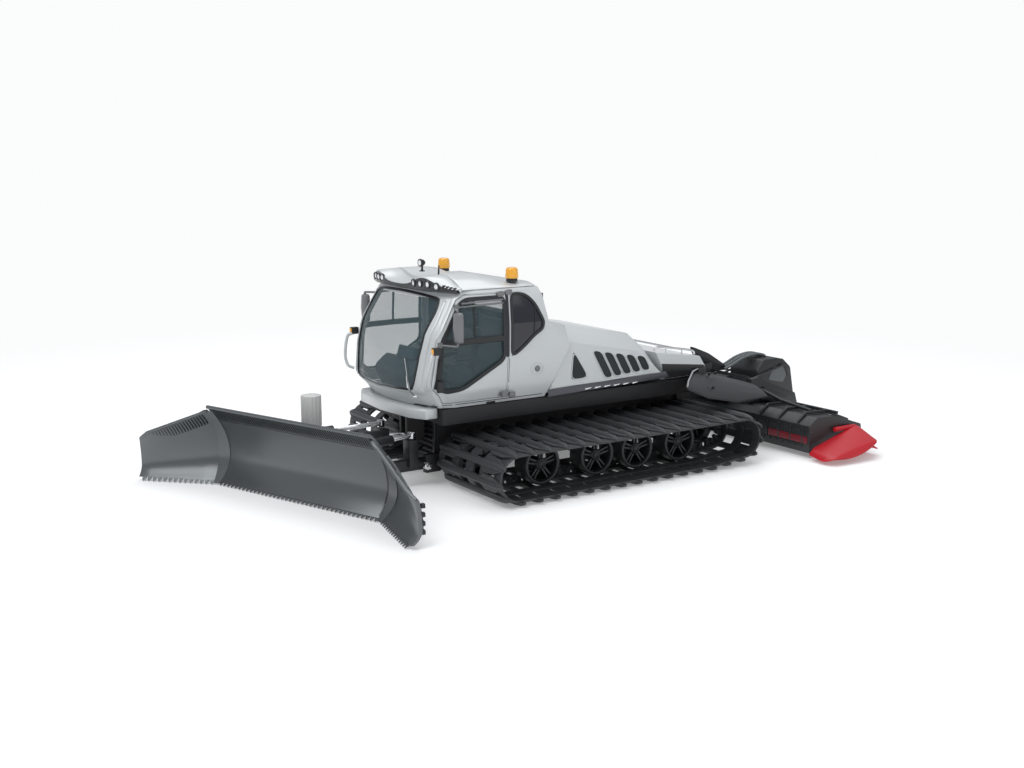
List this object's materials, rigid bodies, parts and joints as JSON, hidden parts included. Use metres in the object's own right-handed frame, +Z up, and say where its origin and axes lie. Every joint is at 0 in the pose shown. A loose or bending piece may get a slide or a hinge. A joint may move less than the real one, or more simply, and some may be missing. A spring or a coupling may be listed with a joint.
{
  "type": "toy snow groomer",
  "caption": "Tracked toy snow groomer with an angled folding dozer blade in front and a lifting snow tiller behind its hollow cab and engine cover.",
  "frame": {"origin": "on the ground under the middle of the machine's outline", "axes": "-Y is forward towards the blade, +X is the machine's left, +Z is up"},
  "size_m": [0.356, 0.6383, 0.1863],
  "materials": {
    "body_white": "satin silver-white moulded body shell",
    "dark_plastic": "satin black moulding",
    "track_plastic": "matt dark grey track shoes",
    "blade_gunmetal": "satin gunmetal moulding",
    "tinted_glass": "clear teal-grey tinted pane",
    "amber_lens": "glossy amber lens",
    "red_plastic": "satin red moulding",
    "silver_rod": "bright silver rod",
    "knob_grey": "light grey ribbed moulding"
  },
  "bodies": {
    "carrier": {"chassis": "dark_plastic", "left_track": "track_plastic", "right_track": "track_plastic", "left_road_wheel_1": "dark_plastic", "left_road_wheel_2": "dark_plastic", "left_road_wheel_3": "dark_plastic", "left_road_wheel_4": "dark_plastic", "right_road_wheel_1": "dark_plastic", "right_road_wheel_2": "dark_plastic", "right_road_wheel_3": "dark_plastic", "right_road_wheel_4": "dark_plastic", "left_idler": "dark_plastic", "left_sprocket": "dark_plastic", "left_quarter_window": "tinted_glass", "left_beacon": "amber_lens", "left_rear_fender": "dark_plastic", "right_idler": "dark_plastic", "right_sprocket": "dark_plastic", "right_quarter_window": "tinted_glass", "right_beacon": "amber_lens", "right_rear_fender": "dark_plastic", "cab_shell": "body_white", "windscreen": "tinted_glass", "rear_window": "tinted_glass", "cab_roof": "body_white", "roof_visor": "dark_plastic", "search_light": "dark_plastic", "driver_seat": "dark_plastic", "dashboard": "dark_plastic", "steering_wheel": "dark_plastic", "front_bumper": "body_white", "engine_cover": "body_white", "rear_deck": "body_white"},
    "left_door": {"left_door": "body_white", "left_door_glass": "tinted_glass", "left_mirror": "dark_plastic"},
    "right_door": {"right_door": "body_white", "right_door_glass": "tinted_glass", "right_mirror": "dark_plastic"},
    "lift_frame": {"lift_frame": "dark_plastic"},
    "lift_barrel": {"lift_cylinder_barrel": "dark_plastic"},
    "lift_rod": {"lift_cylinder_rod": "silver_rod"},
    "blade": {"blade_centre": "blade_gunmetal", "height_knob": "knob_grey"},
    "left_wing": {"left_blade_wing": "blade_gunmetal"},
    "right_wing": {"right_blade_wing": "blade_gunmetal"},
    "left_angle_barrel": {"left_angle_cylinder_barrel": "dark_plastic"},
    "left_angle_rod": {"left_angle_cylinder_rod": "silver_rod"},
    "right_angle_barrel": {"right_angle_cylinder_barrel": "dark_plastic"},
    "right_angle_rod": {"right_angle_cylinder_rod": "silver_rod"},
    "tiller": {"rear_carrier": "dark_plastic", "tiller_hood": "dark_plastic", "tiller_tower": "dark_plastic", "tiller_finisher": "dark_plastic"},
    "rotor": {"tiller_rotor": "dark_plastic"},
    "left_finisher": {"left_side_finisher": "red_plastic"},
    "right_finisher": {"right_side_finisher": "red_plastic"},
    "rear_barrel": {"rear_cylinder_barrel": "dark_plastic"},
    "rear_rod": {"rear_cylinder_rod": "silver_rod"}
  },
  "joints": [
    {"name": "left_door_swing", "type": "hinge", "parent": "carrier", "child": "left_door", "pos_m": [0.0715, -0.065, 0.071], "axis": [0, 0, 1], "range_deg": [0, 75]},
    {"name": "right_door_swing", "type": "hinge", "parent": "carrier", "child": "right_door", "pos_m": [-0.0715, -0.065, 0.071], "axis": [0, 0, -1], "range_deg": [0, 75]},
    {"name": "blade_lift", "type": "hinge", "parent": "carrier", "child": "lift_frame", "pos_m": [0, -0.117, 0.017], "axis": [-1, 0, 0], "range_deg": [0, 22]},
    {"name": "blade_angle", "type": "hinge", "parent": "lift_frame", "child": "blade", "pos_m": [0, -0.184, 0], "axis": [0, 0, 1], "range_deg": [-44.6, 5.4]},
    {"name": "left_wing_fold", "type": "hinge", "parent": "blade", "child": "left_wing", "pos_m": [0.10579, -0.20684, 0], "axis": [0, 0, -1], "range_deg": [-31.6, 13.4]},
    {"name": "right_wing_fold", "type": "hinge", "parent": "blade", "child": "right_wing", "pos_m": [-0.06755, -0.26856, 0], "axis": [0, 0, 1], "range_deg": [-26, 19]},
    {"name": "lift_barrel_swing", "type": "hinge", "parent": "lift_frame", "child": "lift_barrel", "pos_m": [0.004, -0.172, 0.043], "axis": [-1, 0, 0], "range_deg": [0, 8]},
    {"name": "lift_rod_slide", "type": "slide", "parent": "lift_barrel", "child": "lift_rod", "axis": [0, 0.998, -0.0637], "range_m": [-0.008, 0]},
    {"name": "left_angle_barrel_swing", "type": "hinge", "parent": "blade", "child": "left_angle_barrel", "pos_m": [0.0462, -0.20046, 0.044], "axis": [0, 0, 1], "range_deg": [-4, 26]},
    {"name": "left_angle_rod_slide", "type": "slide", "parent": "left_angle_barrel", "child": "left_angle_rod", "axis": [-0.2775, 0.9607, 0], "range_m": [-0.004, 0.0265]},
    {"name": "right_angle_barrel_swing", "type": "hinge", "parent": "blade", "child": "right_angle_barrel", "pos_m": [-0.0254, -0.22595, 0.044], "axis": [0, 0, 1], "range_deg": [-4, 26]},
    {"name": "right_angle_rod_slide", "type": "slide", "parent": "right_angle_barrel", "child": "right_angle_rod", "axis": [-0.0174, 0.9998, 0], "range_m": [-0.0265, 0.004]},
    {"name": "rear_lift", "type": "hinge", "parent": "carrier", "child": "tiller", "pos_m": [0, 0.162, 0.045], "axis": [1, 0, 0], "range_deg": [0, 22]},
    {"name": "rotor_spin", "type": "hinge", "parent": "tiller", "child": "rotor", "pos_m": [0, 0.228, 0.017], "axis": [1, 0, 0], "continuous": true},
    {"name": "left_finisher_fold", "type": "hinge", "parent": "tiller", "child": "left_finisher", "pos_m": [0.1456, 0.228, 0.0245], "axis": [0, -1, 0], "range_deg": [0, 70]},
    {"name": "right_finisher_fold", "type": "hinge", "parent": "tiller", "child": "right_finisher", "pos_m": [-0.1456, 0.228, 0.0245], "axis": [0, 1, 0], "range_deg": [0, 70]},
    {"name": "rear_barrel_swing", "type": "hinge", "parent": "carrier", "child": "rear_barrel", "pos_m": [0, 0.162, 0.067], "axis": [1, 0, 0], "range_deg": [0, 24]},
    {"name": "rear_rod_slide", "type": "slide", "parent": "rear_barrel", "child": "rear_rod", "axis": [0, 0.9989, -0.0465], "range_m": [-0.0085, 0]}
  ],
  "couplings": [
    {"joint": "lift_barrel_swing", "follows": "blade_lift", "ratio": 0.33},
    {"joint": "lift_rod_slide", "follows": "blade_lift", "m_per_rad": -0.0195},
    {"joint": "left_angle_barrel_swing", "follows": "blade_angle", "ratio": -0.57},
    {"joint": "left_angle_rod_slide", "follows": "blade_angle", "m_per_rad": -0.033},
    {"joint": "right_angle_barrel_swing", "follows": "blade_angle", "ratio": -0.565},
    {"joint": "right_angle_rod_slide", "follows": "blade_angle", "m_per_rad": 0.033},
    {"joint": "rear_barrel_swing", "follows": "rear_lift", "ratio": 1.08},
    {"joint": "rear_rod_slide", "follows": "rear_lift", "m_per_rad": -0.0216}
  ]
}
